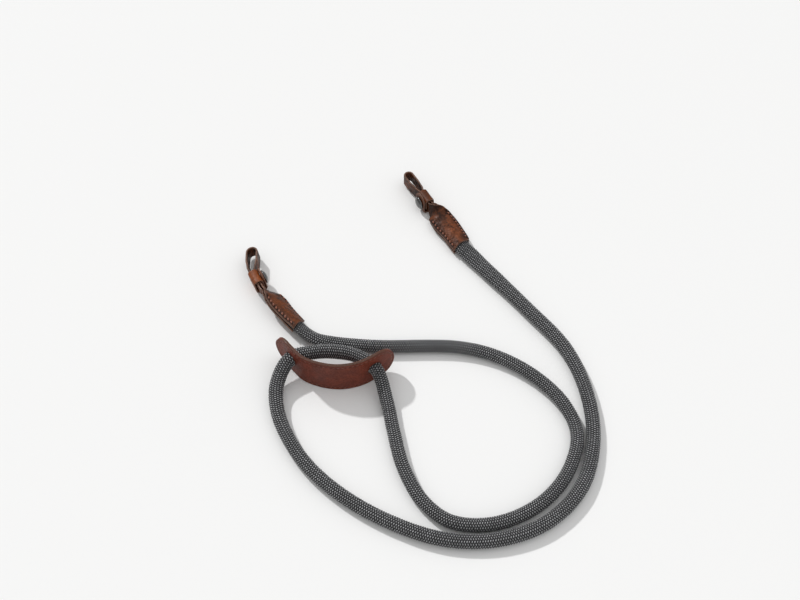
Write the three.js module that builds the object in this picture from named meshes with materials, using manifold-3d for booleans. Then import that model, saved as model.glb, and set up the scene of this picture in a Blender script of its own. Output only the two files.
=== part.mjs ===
/**
 * Braided camera strap, lying in two turns on a flat surface.
 *
 * A round braided rope ends in two folded leather lug tabs. Each tab is one long piece of leather:
 * its wide ends are the two layers sewn over the rope's pressed end, and its narrow middle is the
 * loop that goes through a camera's strap lug. A keeper, closed with a snap, slides on the tab's
 * neck. A slotted leather shoulder pad is threaded on the rope and stands on its long edge.
 *
 * Millimetres, +Z up, the surface at z = 0.
 */
import * as THREE from "three";
import { mergeVertices } from "three/addons/utils/BufferGeometryUtils.js";
import Module from "manifold-3d";

const wasm = await Module();
wasm.setup();

// ---------------------------------------------------------------- driving sizes
const ropeDiameter = 8.8;
const ropeSides = 10;
const ropeSteps = 79;
const ropeEndHalfWidth = 5.6; // of the pressed end, inside the sewn layers
const ropeEndFrom = 1.5; // along the tab, from its mouth
const ropeEndTo = 25;
const fit = 0.3; // between the pressed end and the leather
const tabThickness = 1.3;
const neckHalfWidth = 4.3;
const mouth = {
  dip: 1.4, // how far back its middle is cut
  corner: 1.6, // how far back its right corner is rounded
  fade: 24, // where along the tab its cut no longer shows
};
const keeperThickness = 1.1;
const keeperHalfWidth = 5.3;
const padThickness = 2.1;
const padWidth = 25.8;
const padTipRadius = 12;
const slotHalfLength = 5.0;
const slotHalfHeight = 5.0;
const slotFromTip = 14.7;
const snap = {
  height: 0.8, // of its axis, above the tab's middle
  holeRadius: 1.6,
  shankRadius: 1.3,
  capRadius: 4.5,
  capRim: 0.8,
  capHeight: 2.6,
  clearance: 0.25,
};

// The layout below is drawn about a handy point. This moves it, so that the origin lies under the
// middle of the leather parts.
const layoutShift = { x: 2.4, y: 4.84 };

// The rope's route, from the mouth of the left tab to the mouth of the right tab.
const ropeRoute = [
  [-38.1, -47.4, 5.25],
  [-35.6, -49.9, 5.1],
  [-30.9, -53.5, 4.85],
  [-24.0, -56.7, 4.6],
  [6.5, -60.6, 4.45],
  [62.0, -61.6, 4.45],
  [86.0, -68.8, 4.45],
  [108.0, -83.5, 4.45],
  [123.5, -102.5, 4.45],
  [129.5, -123.0, 4.45],
  [123.5, -145.0, 4.45],
  [110.5, -163.0, 4.45],
  [93.0, -175.2, 4.45],
  [73.0, -181.0, 4.45],
  [53.0, -178.8, 4.45],
  [38.0, -166.5, 4.45],
  [27.0, -145.0, 4.45],
  [21.2, -121.0, 4.5],
  [17.2, -101.4, 5.4],
  [10.6, -83.1, 12.8],
  [-2.0, -73.0, 12.8],
  [-15.5, -69.3, 12.5],
  [-30.0, -70.9, 12.8],
  [-42.3, -76.3, 12.8],
  [-49.3, -89.6, 7.3],
  [-48.8, -105.0, 4.6],
  [-42.5, -122.5, 4.45],
  [-29.0, -143.5, 4.45],
  [-8.0, -163.0, 4.45],
  [20.0, -179.6, 4.45],
  [50.0, -189.8, 4.45],
  [80.0, -189.8, 4.45],
  [107.0, -179.8, 4.45],
  [128.5, -158.5, 4.45],
  [138.6, -128.0, 4.45],
  [138.2, -96.0, 4.45],
  [127.8, -62.2, 4.45],
  [105.6, -31.2, 4.45],
  [74.6, 7.7, 4.45],
  [66.6, 17.65, 4.45],
];

// The front face of the pad, seen from above.
const padBend = [
  { x: -51.2, y: -65.0 },
  { x: -46.5, y: -69.6 },
  { x: -41.8, y: -75.4 },
  { x: -34.0, y: -83.5 },
  { x: -22.7, y: -88.3 },
  { x: -10.5, y: -89.7 },
  { x: 1.5, y: -87.0 },
  { x: 11.5, y: -81.2 },
  { x: 21.5, y: -73.8 },
];

// The middle of each lug tab, from its mouth to the lug. lean is how far the sewn layers are turned
// about it, out of the flat, towards the snap, and neckLean how far the neck and the loop are. flare is
// the share of its widening that the sewn part has kept, keeperAt how far along the keeper's middle is,
// turnAt where the loop turns back, and loopHalfWidth half the width inside it. mouthSlant is how much
// farther back the mouth's right edge starts, seen from the rope.
const ends = {
  left: {
    lean: 28,
    neckLean: 82,
    flare: 0.85,
    snapSide: -1,
    keeperAt: 47.4,
    turnAt: 69.2,
    loopHalfWidth: 2.65,
    mouthSlant: 2.2,
    route: [
      [-37.6, -47.9, 5.3],
      [-48.8, -34.6, 5.6],
      [-57.0, -24.0, 6.7],
      [-63.4, -18.3, 6.35],
      [-64.7, -16.5, 6.3],
      [-69.2, -7.9, 6.3],
      [-70.3, -5.7, 6.3],
      [-71.1, 1.2, 6.3],
      [-71.6, 13.5, 6.3],
    ],
  },
  right: {
    lean: 3,
    neckLean: 90,
    flare: 1.16,
    snapSide: 1,
    keeperAt: 46.8,
    turnAt: 69.6,
    loopHalfWidth: 2.2,
    mouthSlant: 3,
    route: [
      [66.8, 17.2, 3.9],
      [60.4, 29.8, 3.9],
      [54.5, 39.0, 4.4],
      [49.6, 46.0, 6.2],
      [45.9, 50.9, 6.35],
      [44.9, 52.8, 6.3],
      [40.4, 60.9, 6.3],
      [39.4, 62.8, 6.3],
      [33.7, 72.2, 6.3],
      [29.2, 79.9, 6.3],
    ],
  },
};

// One layer of a lug tab, by the distance from its mouth. halfWidth is half its width, middle and
// edge are half the gap between the two layers there, turn is how much of the way it has turned
// from lying flat to standing on edge, and open is how far the loop has opened.
const tabSections = [
  { along: 0, halfWidth: 6.4, middle: 2.4, edge: 0.6, turn: 0, open: 0 },
  { along: 10, halfWidth: 7.0, middle: 2.3, edge: 0.4, turn: 0, open: 0 },
  { along: 24, halfWidth: 7.7, middle: 1.7, edge: 0.4, turn: 0, open: 0 },
  { along: 29, halfWidth: 7.3, middle: 0.9, edge: 0.4, turn: 0.06, open: 0 },
  { along: 33, halfWidth: 6.5, middle: 0.5, edge: 0.4, turn: 0.35, open: 0 },
  { along: 37, halfWidth: 5.1, middle: 0.4, edge: 0.4, turn: 0.8, open: 0 },
  { along: 40.5, halfWidth: 4.3, middle: 0.4, edge: 0.4, turn: 1, open: 0 },
  { along: 52, halfWidth: 4.3, middle: 0.4, edge: 0.4, turn: 1, open: 0 },
  { along: 57, halfWidth: 4.3, middle: 0.4, edge: 0.4, turn: 1, open: 0.65 },
  { along: 63, halfWidth: 4.3, middle: 0.4, edge: 0.4, turn: 1, open: 1 },
];

// The middle of the keeper's strip, seen along the tab: side is towards the snap, up is upwards.
const keeperPath = [
  { side: 2.6, up: -2.2 },
  { side: 2.65, up: 0.4 },
  { side: 2.75, up: 2.6 },
  { side: 2.75, up: 4.1 },
  { side: 2.15, up: 5.0 },
  { side: 1.1, up: 5.4 },
  { side: 0, up: 5.5 },
  { side: -1.1, up: 5.4 },
  { side: -2.15, up: 5.0 },
  { side: -2.75, up: 4.1 },
  { side: -2.8, up: 2.2 },
  { side: -2.8, up: -2.2 },
  { side: -2.75, up: -4.1 },
  { side: -2.15, up: -5.0 },
  { side: -1, up: -5.35 },
  { side: 1.2, up: -5.4 },
  { side: 2.9, up: -5.15 },
  { side: 3.95, up: -4.3 },
  { side: 4.2, up: -2.6 },
  { side: 4.2, up: 1.2 },
  { side: 4.2, up: 4.6 },
  { side: 4.3, up: 8.4 },
];
const keeperOuterFace = 4.2 + keeperThickness / 2;
const keeperInnerFace = 2.65 - keeperThickness / 2;

// ---------------------------------------------------------------- materials
const materials = {
  rope: new THREE.MeshStandardMaterial({ color: "#55575a", roughness: 0.75, metalness: 0 }),
  leather: new THREE.MeshStandardMaterial({ color: "#6b3a26", roughness: 0.6, metalness: 0 }),
  padLeather: new THREE.MeshStandardMaterial({ color: "#6a3529", roughness: 0.65, metalness: 0 }),
  nickel: new THREE.MeshStandardMaterial({ color: "#d5d5d2", roughness: 0.15, metalness: 1 }),
};

// ---------------------------------------------------------------- helpers
const up = new THREE.Vector3(0, 0, 1);
const neckHalfGap = tabSections[tabSections.length - 1].middle;
const tabColumns = [-1, -0.86, -0.68, -0.45, -0.22, 0, 0.22, 0.45, 0.68, 0.86, 1];

/** A value of one column of a table, eased between the two rows that hold the distance. */
function lookUp(table, column, along) {
  const last = table[table.length - 1];
  if (along >= last.along) {
    return last[column];
  }
  const next = table.findIndex((row) => row.along > along);
  const from = table[Math.max(next - 1, 0)];
  const to = table[next];
  const share = THREE.MathUtils.smoothstep(along, from.along, to.along);
  return THREE.MathUtils.lerp(from[column], to[column], share);
}

/** The index of a geometry's triangles, turned over if they face inwards. */
function facingOut(geometry) {
  const position = geometry.getAttribute("position");
  const index = Array.from(geometry.getIndex().array);
  const corners = [new THREE.Vector3(), new THREE.Vector3(), new THREE.Vector3()];
  let volume = 0;
  for (let first = 0; first < index.length; first += 3) {
    corners.forEach((corner, k) => corner.fromBufferAttribute(position, index[first + k]));
    volume += corners[0].dot(corners[1].clone().cross(corners[2]));
  }
  if (volume < 0) {
    index.reverse();
  }
  geometry.setIndex(index);
  return geometry;
}

/** A closed sheet between two grids of points, one row of points for each section. */
function thickSheet(outer, inner) {
  const rows = outer.length;
  const columns = outer[0].length;
  const under = rows * columns;
  const at = (row, column) => row * columns + column;
  const index = [];
  const quad = (a, b, c, d) => index.push(a, b, c, a, c, d);
  for (let row = 0; row < rows - 1; row += 1) {
    for (let column = 0; column < columns - 1; column += 1) {
      const corners = [at(row, column), at(row + 1, column), at(row + 1, column + 1), at(row, column + 1)];
      quad(...corners);
      quad(...corners.map((corner) => under + corner).reverse());
    }
    const last = columns - 1;
    quad(at(row, 0), under + at(row, 0), under + at(row + 1, 0), at(row + 1, 0));
    quad(at(row, last), at(row + 1, last), under + at(row + 1, last), under + at(row, last));
  }
  const end = rows - 1;
  for (let column = 0; column < columns - 1; column += 1) {
    quad(at(0, column), at(0, column + 1), under + at(0, column + 1), under + at(0, column));
    quad(at(end, column), under + at(end, column), under + at(end, column + 1), at(end, column + 1));
  }
  const points = [...outer, ...inner].flat();
  const geometry = new THREE.BufferGeometry().setFromPoints(points);
  geometry.setIndex(index);
  return facingOut(geometry);
}

/** A manifold solid of a closed geometry. */
function solidOf(geometry) {
  const bare = geometry.clone();
  bare.deleteAttribute("normal");
  bare.deleteAttribute("uv");
  const merged = mergeVertices(bare, 1e-4);
  const vertProperties = Float32Array.from(merged.getAttribute("position").array);
  const triVerts = Uint32Array.from(merged.getIndex().array);
  return new wasm.Manifold(new wasm.Mesh({ numProp: 3, vertProperties, triVerts }));
}

/** A geometry with the others cut out of it. */
function cut(geometry, cutters) {
  let solid = solidOf(geometry);
  for (const cutter of cutters) {
    solid = solid.subtract(solidOf(cutter));
  }
  const mesh = solid.getMesh();
  const result = new THREE.BufferGeometry();
  result.setAttribute("position", new THREE.BufferAttribute(mesh.vertProperties, 3));
  result.setIndex(new THREE.BufferAttribute(mesh.triVerts, 1));
  return result;
}

/** Distances from one to another, both kept, no further apart than the spacing. */
function spaced(from, to, spacing) {
  const count = Math.ceil(Math.abs(to - from) / spacing);
  return Array.from({ length: count + 1 }, (_, k) => from + ((to - from) * k) / count);
}

/** A smooth curve through places given as [x, y, z]. */
function curveThrough(places) {
  const curve = new THREE.CatmullRomCurve3(
    places.map((place) => new THREE.Vector3(...place)),
    false,
    "centripetal",
  );
  curve.arcLengthDivisions = 4000;
  return curve;
}

// ---------------------------------------------------------------- rope
function ropeGeometry() {
  const extrudePath = curveThrough(ropeRoute);
  const section = new THREE.Shape();
  for (let side = 0; side < ropeSides; side += 1) {
    const angle = ((side + 0.5) / ropeSides) * 2 * Math.PI;
    const place = [Math.cos(angle) * (ropeDiameter / 2), Math.sin(angle) * (ropeDiameter / 2)];
    if (side === 0) {
      section.moveTo(...place);
    } else {
      section.lineTo(...place);
    }
  }
  return new THREE.ExtrudeGeometry(section, { steps: ropeSteps, extrudePath, bevelEnabled: false });
}

// ---------------------------------------------------------------- lug tabs, keepers and snaps
/** The place and directions of a tab at a distance from its mouth. side points to the snap. */
function tabFrame(end, curve, along) {
  const share = Math.min(along / curve.getLength(), 1);
  const middle = curve.getPointAt(share);
  const forward = curve.getTangentAt(share);
  const side = new THREE.Vector3().crossVectors(forward, up).normalize();
  const lift = new THREE.Vector3().crossVectors(side, forward);
  return { middle, forward, side: side.multiplyScalar(-end.snapSide), lift };
}

/** Half the width of a tab at a distance from its mouth. */
function tabHalfWidth(end, along) {
  return neckHalfWidth + (lookUp(tabSections, "halfWidth", along) - neckHalfWidth) * end.flare;
}

/** The directions across a tab's layers, as they turn from lying flat to standing on edge. */
function layerAxes(end, frame, along) {
  const lean = THREE.MathUtils.lerp(end.lean, end.neckLean, lookUp(tabSections, "turn", along));
  const angle = THREE.MathUtils.degToRad(lean);
  const face = frame.lift.clone().multiplyScalar(Math.cos(angle));
  face.addScaledVector(frame.side, Math.sin(angle));
  const across = frame.lift.clone().multiplyScalar(-Math.sin(angle));
  across.addScaledVector(frame.side, Math.cos(angle));
  return { face, across };
}

/** Half the gap between the two layers, at a share of the way from the middle to an edge. */
function halfGap(end, along, share) {
  const edge = lookUp(tabSections, "edge", along);
  const middle = lookUp(tabSections, "middle", along);
  const loop = lookUp(tabSections, "open", along) * (end.loopHalfWidth - neckHalfGap);
  return edge + (middle - edge) * Math.max(1 - share ** 2, 0) ** 0.8 + loop;
}

/** How far back the mouth is cut at a share of the way to the snap's side. */
function mouthCut(end, share) {
  const right = -end.snapSide * share;
  const corner = mouth.corner * Math.max(right, 0) ** 6;
  return (end.mouthSlant * (1 + right)) / 2 + mouth.dip * (1 - right ** 2) + corner;
}

/** A point of a layer, above the tab's middle plane if layer is 1, or else below it. */
function layerPoint(end, curve, along, share, offset, layer, height) {
  const frame = tabFrame(end, curve, along);
  const axes = layerAxes(end, frame, along);
  const point = frame.middle.addScaledVector(axes.across, offset);
  return point.addScaledVector(axes.face, layer * (halfGap(end, along, share) + height));
}

/** One row of points across a layer: its inner face if thickness is 0, or else its outer face. */
function layerRow(end, curve, row, layer, thickness) {
  return tabColumns.map((share) => {
    const along = row + Math.max(1 - row / mouth.fade, 0) * mouthCut(end, share);
    const offset = share * tabHalfWidth(end, along);
    return layerPoint(end, curve, along, share, offset, layer, thickness);
  });
}

/** One row of points on the turn round the lug. */
function turnRow(end, curve, angle, thickness) {
  const frame = tabFrame(end, curve, end.turnAt);
  const axes = layerAxes(end, frame, end.turnAt);
  const radius = end.loopHalfWidth + thickness;
  return tabColumns.map((share) => {
    const point = frame.middle.clone().addScaledVector(axes.across, share * neckHalfWidth);
    point.addScaledVector(axes.face, radius * Math.cos(angle));
    return point.addScaledVector(frame.forward, radius * Math.sin(angle));
  });
}

function tabGeometry(end, curve) {
  const out = [...spaced(0, mouth.fade, 4), ...spaced(25.5, 51.5, 1.5), ...spaced(53.5, end.turnAt, 2.2)];
  const turnAngles = spaced(0, Math.PI, Math.PI / 8).slice(1, -1);
  const grid = (thickness) => [
    ...out.map((row) => layerRow(end, curve, row, 1, thickness)),
    ...turnAngles.map((angle) => turnRow(end, curve, angle, thickness)),
    ...out.toReversed().map((row) => layerRow(end, curve, row, -1, thickness)),
  ];
  return thickSheet(grid(tabThickness), grid(0));
}

/** The rope's end, pressed flat between the sewn layers. */
function ropeEndGeometry(end, curve) {
  const rows = spaced(ropeEndFrom, ropeEndTo, 3);
  const grid = (layer) =>
    rows.map((along) =>
      spaced(-1, 1, 1 / 4).map((across) => {
        const offset = across * ropeEndHalfWidth;
        const share = offset / tabHalfWidth(end, along);
        return layerPoint(end, curve, along, share, offset, layer, -fit);
      }),
    );
  return thickSheet(grid(1), grid(-1));
}

/** The place and directions of a keeper: side points out of the neck's layers, to the snap. */
function keeperFrame(end, curve) {
  const frame = tabFrame(end, curve, end.keeperAt);
  const axes = layerAxes(end, frame, end.keeperAt);
  return { middle: frame.middle, forward: frame.forward, side: axes.face, lift: axes.across.negate() };
}

/** A lathed piece on the snap's axis. Its profile holds distances along the axis and radii. */
function onSnapAxis(frame, profile, segments) {
  const points = profile.map((place) => new THREE.Vector2(place.radius, place.along));
  const geometry = new THREE.LatheGeometry(points, segments);
  const third = new THREE.Vector3().crossVectors(frame.lift, frame.side);
  const place = new THREE.Matrix4().makeBasis(frame.lift, frame.side, third);
  place.setPosition(frame.middle.clone().addScaledVector(frame.lift, snap.height));
  geometry.applyMatrix4(place);
  return facingOut(geometry);
}

function keeperGeometry(frame) {
  const places = keeperPath.map((place) => new THREE.Vector3(place.side, place.up, 0));
  const path = new THREE.CatmullRomCurve3(places, false, "centripetal");
  const length = path.getLength();
  const tip = [0.02, 0.12, 0.3, 0.55, 0.8, 1].map((share) => length - keeperHalfWidth * share);
  const stops = [...spaced(0, length - keeperHalfWidth - 0.5, 1), ...tip.toReversed()];
  const row = (along, offset) => {
    const place = path.getPointAt(along / length);
    const tangent = path.getTangentAt(along / length);
    const toTip = Math.max(keeperHalfWidth - (length - along), 0);
    const halfWidth = Math.sqrt(keeperHalfWidth ** 2 - toTip ** 2);
    const sideways = place.x + tangent.y * offset;
    const upwards = place.y - tangent.x * offset;
    return [-1, -0.5, 0, 0.5, 1].map((share) => {
      const point = frame.middle.clone().addScaledVector(frame.forward, share * halfWidth);
      return point.addScaledVector(frame.side, sideways).addScaledVector(frame.lift, upwards);
    });
  };
  const outer = stops.map((along) => row(along, keeperThickness / 2));
  const inner = stops.map((along) => row(along, -keeperThickness / 2));
  const hole = [
    { along: keeperInnerFace - 1, radius: 0 },
    { along: keeperInnerFace - 1, radius: snap.holeRadius },
    { along: keeperOuterFace + 1, radius: snap.holeRadius },
    { along: keeperOuterFace + 1, radius: 0 },
  ];
  return cut(thickSheet(outer, inner), [onSnapAxis(frame, hole, 16)]);
}

/** The snap's shank, through both layers of the keeper, and its domed cap. */
function snapProfile() {
  const base = keeperOuterFace + snap.clearance;
  const profile = [
    { along: keeperInnerFace, radius: 0 },
    { along: keeperInnerFace, radius: snap.shankRadius },
    { along: base, radius: snap.shankRadius },
    { along: base, radius: snap.capRadius - 0.3 },
    { along: base + 0.3, radius: snap.capRadius },
    { along: base + snap.capRim, radius: snap.capRadius },
  ];
  const rounds = 6;
  for (let k = 1; k <= rounds; k += 1) {
    const angle = (k / rounds) * (Math.PI / 2);
    profile.push({
      along: base + snap.capRim + (snap.capHeight - snap.capRim) * Math.sin(angle),
      radius: k === rounds ? 0 : snap.capRadius * Math.cos(angle),
    });
  }
  return profile;
}

// ---------------------------------------------------------------- shoulder pad
function slotCutter(curve, length, along) {
  const shape = new THREE.Shape();
  shape.absellipse(0, 0, slotHalfLength, slotHalfHeight, 0, 2 * Math.PI);
  const depth = padThickness * 4;
  const geometry = new THREE.ExtrudeGeometry(shape, { depth, bevelEnabled: false, curveSegments: 6 });
  geometry.translate(0, 0, -depth / 2);
  const tangent = curve.getTangentAt(along / length);
  const outward = new THREE.Vector3().crossVectors(tangent, up);
  const place = new THREE.Matrix4().makeBasis(tangent, up, outward);
  place.setPosition(curve.getPointAt(along / length).addScaledVector(outward, -padThickness / 2));
  geometry.applyMatrix4(place);
  return geometry;
}

function padGeometry() {
  const curve = curveThrough(padBend.map((place) => [place.x, place.y, padWidth / 2]));
  const length = curve.getLength();
  const tip = [0.04, 0.12, 0.26, 0.45, 0.7, 1].map((share) => padTipRadius * share);
  const stops = [
    ...tip,
    ...spaced(padTipRadius + 2, length - padTipRadius - 2, 2.2),
    ...tip.toReversed().map((along) => length - along),
  ];
  const row = (along, depth) => {
    const toTip = Math.max(padTipRadius - along, padTipRadius - (length - along), 0);
    const halfWidth = (padWidth / 2) * Math.sqrt(1 - (toTip / padTipRadius) ** 2);
    const tangent = curve.getTangentAt(along / length);
    const outward = new THREE.Vector3().crossVectors(tangent, up);
    return spaced(-1, 1, 0.25).map((share) => {
      const point = curve.getPointAt(along / length).addScaledVector(outward, -depth);
      return point.addScaledVector(up, share * halfWidth);
    });
  };
  const front = stops.map((along) => row(along, 0));
  const back = stops.map((along) => row(along, padThickness));
  const slots = [slotFromTip, length - slotFromTip].map((along) => slotCutter(curve, length, along));
  return cut(thickSheet(front, back), slots);
}

// ---------------------------------------------------------------- assembly
const strap = new THREE.Group();

function add(name, geometry, material) {
  const mesh = new THREE.Mesh(geometry, material);
  mesh.name = name;
  strap.add(mesh);
}

add("rope", ropeGeometry(), materials.rope);
add("shoulder_pad", padGeometry(), materials.padLeather);
for (const [name, end] of Object.entries(ends)) {
  const curve = curveThrough(end.route);
  const frame = keeperFrame(end, curve);
  add(`rope_end_${name}`, ropeEndGeometry(end, curve), materials.rope);
  add(`lug_tab_${name}`, tabGeometry(end, curve), materials.leather);
  add(`keeper_${name}`, keeperGeometry(frame), materials.leather);
  add(`snap_${name}`, onSnapAxis(frame, snapProfile(), 24), materials.nickel);
}
strap.position.set(layoutShift.x, layoutShift.y, 0);

export default strap;
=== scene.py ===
"""A braided camera strap that lies in two loose turns.

A round braided rope ends in two folded leather lug tabs, each sewn over the rope's pressed end and
closed by a keeper with a snap. A slotted leather shoulder pad is threaded on the rope.

Shapes are worked out in millimetres in the part's own frame and become metres in the meshes.
"""
import math

import bmesh
import bpy
import numpy as np
from bpy.props import FloatProperty, FloatVectorProperty, IntProperty, PointerProperty
from bpy.types import Operator, Panel, PropertyGroup
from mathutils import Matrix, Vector


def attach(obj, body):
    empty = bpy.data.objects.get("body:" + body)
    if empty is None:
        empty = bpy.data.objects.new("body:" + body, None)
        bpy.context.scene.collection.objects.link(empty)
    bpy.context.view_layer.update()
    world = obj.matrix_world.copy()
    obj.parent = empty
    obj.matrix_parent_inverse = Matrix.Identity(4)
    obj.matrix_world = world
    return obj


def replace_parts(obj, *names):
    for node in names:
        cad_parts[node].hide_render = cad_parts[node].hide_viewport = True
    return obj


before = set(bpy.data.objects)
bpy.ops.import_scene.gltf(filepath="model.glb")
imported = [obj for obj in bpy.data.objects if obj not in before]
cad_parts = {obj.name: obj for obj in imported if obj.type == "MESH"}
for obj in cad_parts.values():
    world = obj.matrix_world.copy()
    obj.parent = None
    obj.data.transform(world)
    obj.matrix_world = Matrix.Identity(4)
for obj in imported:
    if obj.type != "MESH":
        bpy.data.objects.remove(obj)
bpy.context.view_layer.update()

bl_info = {
    "name": "Braided Camera Strap",
    "version": (1, 0, 0),
    "blender": (4, 5, 0),
    "location": "3D View > Sidebar > Strap",
    "description": "Builds a braided rope camera strap with leather ends and a shoulder pad",
    "category": "Object",
}

MM = 0.001

# ---------- layout, as in the part's source
LAYOUT_SHIFT = np.array([2.4, 4.84, 0.0])

ROPE_ROUTE = [
    (-38.1, -47.4, 5.25), (-35.6, -49.9, 5.1), (-30.9, -53.5, 4.85), (-24.0, -56.7, 4.6),
    (6.5, -60.6, 4.45), (62.0, -61.6, 4.45), (86.0, -68.8, 4.45), (108.0, -83.5, 4.45),
    (123.5, -102.5, 4.45), (129.5, -123.0, 4.45), (123.5, -145.0, 4.45), (110.5, -163.0, 4.45),
    (93.0, -175.2, 4.45), (73.0, -181.0, 4.45), (53.0, -178.8, 4.45), (38.0, -166.5, 4.45),
    (27.0, -145.0, 4.45), (21.2, -121.0, 4.5), (17.2, -101.4, 5.4), (10.6, -83.1, 12.8),
    (-2.0, -73.0, 12.8), (-15.5, -69.3, 12.5), (-30.0, -70.9, 12.8), (-42.3, -76.3, 12.8),
    (-49.3, -89.6, 7.3), (-48.8, -105.0, 4.6), (-42.5, -122.5, 4.45), (-29.0, -143.5, 4.45),
    (-8.0, -163.0, 4.45), (20.0, -179.6, 4.45), (50.0, -189.8, 4.45), (80.0, -189.8, 4.45),
    (107.0, -179.8, 4.45), (128.5, -158.5, 4.45), (138.6, -128.0, 4.45), (138.2, -96.0, 4.45),
    (127.8, -62.2, 4.45), (105.6, -31.2, 4.45), (74.6, 7.7, 4.45), (66.6, 17.65, 4.45),
]

PAD_BEND = [
    (-51.2, -65.0), (-46.5, -69.6), (-41.8, -75.4), (-34.0, -83.5), (-22.7, -88.3), (-10.5, -89.7),
    (1.5, -87.0), (11.5, -81.2), (21.5, -73.8),
]

# The middle of each lug tab, from its mouth to the lug. lean is how far the sewn layers are turned
# about it towards the snap, neck_lean how far the neck and the loop are, flare the share of its
# widening that the sewn part has kept, and mouth_slant how much farther back the mouth's right edge
# starts. keeper_painted_shade is a factor on the keeper's colour: below 1 it is painted shade, the
# camera's shadow on the right keeper.
ENDS = {
    "left": {
        "lean": 28, "neck_lean": 82, "flare": 0.85, "keeper_painted_shade": 1.0, "snap_side": -1,
        "keeper_at": 47.4, "turn_at": 69.2, "loop_half_width": 2.65, "mouth_slant": 2.2,
        "route": [
            (-37.6, -47.9, 5.3), (-48.8, -34.6, 5.6), (-57.0, -24.0, 6.7), (-63.4, -18.3, 6.35),
            (-64.7, -16.5, 6.3), (-69.2, -7.9, 6.3), (-70.3, -5.7, 6.3), (-71.1, 1.2, 6.3),
            (-71.6, 13.5, 6.3),
        ],
    },
    "right": {
        "lean": 3, "neck_lean": 90, "flare": 1.16, "keeper_painted_shade": 0.42, "snap_side": 1,
        "keeper_at": 46.8, "turn_at": 69.6, "loop_half_width": 2.2, "mouth_slant": 3,
        "route": [
            (66.8, 17.2, 3.9), (60.4, 29.8, 3.9), (54.5, 39.0, 4.4), (49.6, 46.0, 6.2),
            (45.9, 50.9, 6.35), (44.9, 52.8, 6.3), (40.4, 60.9, 6.3), (39.4, 62.8, 6.3),
            (33.7, 72.2, 6.3), (29.2, 79.9, 6.3),
        ],
    },
}

# One layer of a lug tab by the distance from its mouth: half its width, half the gap between the
# layers in the middle and at the edges, the turn from lying flat to standing, and the open loop.
TAB_SECTIONS = {
    "along": (0, 10, 24, 29, 33, 37, 40.5, 52, 57, 63),
    "half_width": (6.4, 7.0, 7.7, 7.3, 6.5, 5.1, 4.3, 4.3, 4.3, 4.3),
    "middle": (2.4, 2.3, 1.7, 0.9, 0.5, 0.4, 0.4, 0.4, 0.4, 0.4),
    "edge": (0.6, 0.25, 0.16, 0.16, 0.2, 0.4, 0.4, 0.4, 0.4, 0.4),
    "turn": (0, 0, 0, 0.06, 0.35, 0.8, 1, 1, 1, 1),
    "open": (0, 0, 0, 0, 0, 0, 0, 0, 0.65, 1),
}
TAB_THICKNESS = 1.3
NECK_HALF_WIDTH = 4.3
MOUTH_DIP = 1.4
MOUTH_CORNER = 1.6
MOUTH_FADE = 24.0

KEEPER_PATH = [
    (2.6, -2.2), (2.65, 0.4), (2.75, 2.6), (2.75, 4.1), (2.15, 5), (1.1, 5.4), (0, 5.5),
    (-1.1, 5.4), (-2.15, 5), (-2.75, 4.1), (-2.8, 2.2), (-2.8, -2.2), (-2.75, -4.1), (-2.15, -5),
    (-1, -5.35), (1.2, -5.4), (2.9, -5.15), (3.95, -4.3), (4.2, -2.6), (4.2, 1.2), (4.2, 4.6),
    (4.3, 8.4),
]
KEEPER_THICKNESS = 1.1
KEEPER_HALF_WIDTH = 5.3
SNAP_HEIGHT = 0.8
CAP_SEAT = 4.2 + KEEPER_THICKNESS / 2

PAD_THICKNESS = 2.1
PAD_HALF_WIDTH = 12.9
PAD_TIP = 12.0
SLOT_HALF_SIZE = (4.35, 4.65)
SLOT_FROM_TIP = 14.5

# The rope's section by the distance from the left mouth, along its route: half its width, half its
# height, how far its middle drops below the route where a flatter section rests on the surface, and
# its roll in degrees. The first column and the last are inside the sewn layers, which hide
# ROPE_HIDDEN of the rope at each end.
ROPE_HIDDEN = 17.0
ROPE_SECTIONS = {
    "along": (-20, 0, 7, 28, 70, 380, 425, 448, 473, 540, 620, 800, 880, 915, 930, 950),
    "wide": (4.9, 5.6, 5.2, 4.4, 4.2, 4.25, 4.35, 4.4, 4.8, 4.35, 4.4, 4.55, 4.8, 5.6, 6.0, 5.4),
    "high": (1.6, 2.3, 3.1, 4.1, 4.2, 4.2, 4.3, 5.2, 4.5, 4.35, 4.15, 4.05, 3.9, 3.0, 2.3, 1.6),
    "drop": (0, 0, 0.1, 0.2, 0.15, 0.15, 0, 1.3, 0, 0, 0.2, 0.3, 0.45, 0.7, 0.25, 0),
    "roll": (28, 28, 24, 0, 0, 0, 0, 0, 0, 0, 0, 0, 0, 2, 3, 3),
}


# ---------- settings
def length_setting(name, description, default, low):
    """A length in metres."""
    return FloatProperty(
        name=name, description=description, default=default, min=low, unit="LENGTH"
    )


def colour_setting(name, description, default):
    """A colour."""
    return FloatVectorProperty(
        name=name, description=description, default=default, size=3, subtype="COLOR"
    )


def light_setting(name, description, default):
    """A light's strength."""
    return FloatProperty(name=name, description=description, default=default, min=0)


class RopeSettings(PropertyGroup):
    """Sizes and colours of the braided rope."""

    diameter: length_setting("Diameter", "Thickness of the round rope", 0.0088, 0.004)
    ribs: IntProperty(name="Ribs", description="Ribs of the braid around it", default=16, min=4)
    strand_step: length_setting("Strand Step", "From one strand to the next", 0.00143, 0.0005)
    # The strands' colour is painted light on their crowns; the dip colour is painted shade where
    # they dip under, and colours the core.
    strand_colour: colour_setting("Strand Colour", "Yarn on top", (0.66, 0.67, 0.69))
    dip_shade_colour: colour_setting("Gap Colour", "Yarn where it dips under", (0.02, 0.02, 0.0215))


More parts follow.
